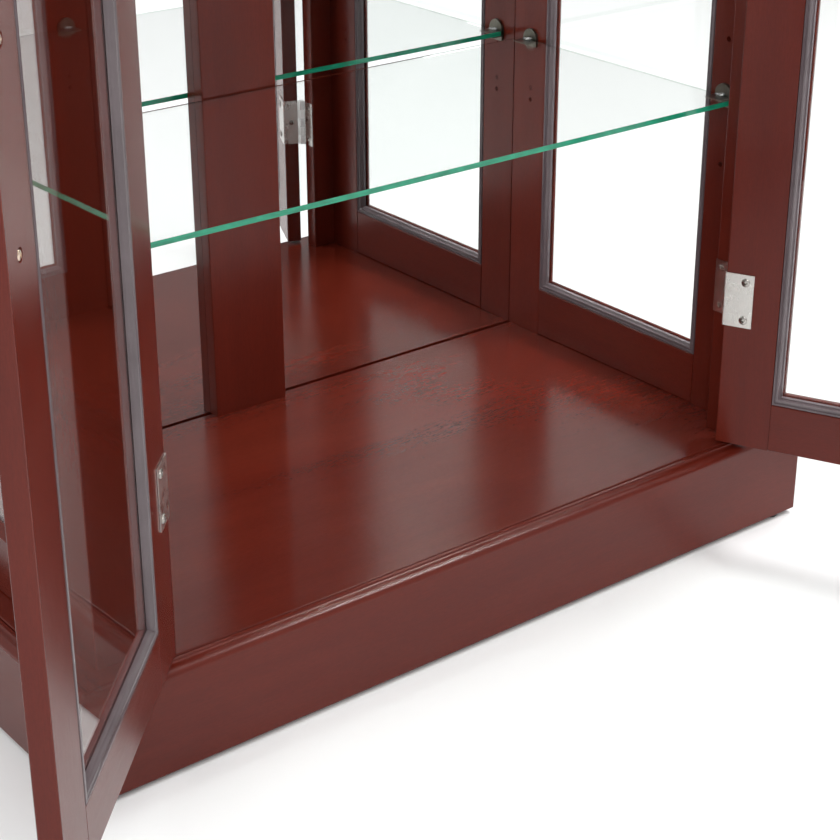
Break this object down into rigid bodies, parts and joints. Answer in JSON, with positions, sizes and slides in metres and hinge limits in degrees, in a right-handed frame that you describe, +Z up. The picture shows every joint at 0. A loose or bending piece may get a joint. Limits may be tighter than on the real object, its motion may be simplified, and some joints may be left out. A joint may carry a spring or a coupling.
{
  "type": "glazed display case",
  "caption": "Floor-standing glazed display case with framed glass doors, glass shelves on clips and a mirrored back, on a moulded mahogany base.",
  "frame": {"origin": "on the ground under the middle of the bounding box, with both doors standing open as pictured", "axes": "+Z up, +Y from the doors towards the mirrored back, +X to the right as seen from the front"},
  "size_m": [1.0867, 0.7013, 1.21],
  "materials": {
    "mahogany": "red-brown lacquered mahogany, satin to gloss",
    "clear_glass": "clear sheet glass with green edges",
    "mirror_glass": "silvered glass mirror",
    "hardboard": "plain board behind the mirrors",
    "vinyl_bead": "grey ribbed vinyl glazing bead",
    "hinge_steel": "plated steel, slightly worn",
    "clip_bronze": "dark bronze plate",
    "handle_brass": "aged brass",
    "black_plastic": "black moulded plastic"
  },
  "bodies": {
    "carcass": {"floor_panel": "mahogany", "plinth_front": "mahogany", "plinth_side_left": "mahogany", "plinth_side_right": "mahogany", "plinth_back": "mahogany", "glide_front_left": "black_plastic", "glide_front_right": "black_plastic", "glide_rear_left": "black_plastic", "glide_rear_right": "black_plastic", "front_post_left": "mahogany", "front_post_right": "mahogany", "rear_stile_left": "mahogany", "rear_stile_right": "mahogany", "side_bottom_rail_left": "mahogany", "side_bottom_rail_right": "mahogany", "side_top_rail_left": "mahogany", "side_top_rail_right": "mahogany", "side_glass_left": "clear_glass", "side_glass_right": "clear_glass", "side_gasket_left": "vinyl_bead", "side_gasket_right": "vinyl_bead", "centre_stile": "mahogany", "mirror_left": "mirror_glass", "mirror_right": "mirror_glass", "back_board": "hardboard", "top_panel": "mahogany", "magnetic_catch": "black_plastic", "lower_shelf": "clear_glass", "lower_clip_front_left": "clip_bronze", "lower_clip_front_right": "clip_bronze", "lower_clip_rear_left": "clip_bronze", "lower_clip_rear_right": "clip_bronze", "upper_shelf": "clear_glass", "upper_clip_front_left": "clip_bronze", "upper_clip_front_right": "clip_bronze", "upper_clip_rear_left": "clip_bronze", "upper_clip_rear_right": "clip_bronze", "left_lower_hinge_post_leaf": "hinge_steel", "left_upper_hinge_post_leaf": "hinge_steel", "right_lower_hinge_post_leaf": "hinge_steel", "right_upper_hinge_post_leaf": "hinge_steel"},
    "left_door": {"left_door_hinge_stile": "mahogany", "left_door_free_stile": "mahogany", "left_door_bottom_rail": "mahogany", "left_door_top_rail": "mahogany", "left_door_glass": "clear_glass", "left_door_gasket": "vinyl_bead", "left_door_handle": "handle_brass", "left_lower_hinge_door_leaf": "hinge_steel", "left_upper_hinge_door_leaf": "hinge_steel"},
    "right_door": {"right_door_hinge_stile": "mahogany", "right_door_free_stile": "mahogany", "right_door_bottom_rail": "mahogany", "right_door_top_rail": "mahogany", "right_door_glass": "clear_glass", "right_door_gasket": "vinyl_bead", "right_door_handle": "handle_brass", "right_lower_hinge_door_leaf": "hinge_steel", "right_upper_hinge_door_leaf": "hinge_steel"}
  },
  "joints": [
    {"name": "left_door_hinge", "type": "hinge", "parent": "carcass", "child": "left_door", "pos_m": [-0.3024, -0.0314, 0.642], "axis": [0, 0, -1], "range_deg": [-134, 36]},
    {"name": "right_door_hinge", "type": "hinge", "parent": "carcass", "child": "right_door", "pos_m": [0.3844, -0.0314, 0.642], "axis": [0, 0, 1], "range_deg": [-115, 55]}
  ]
}
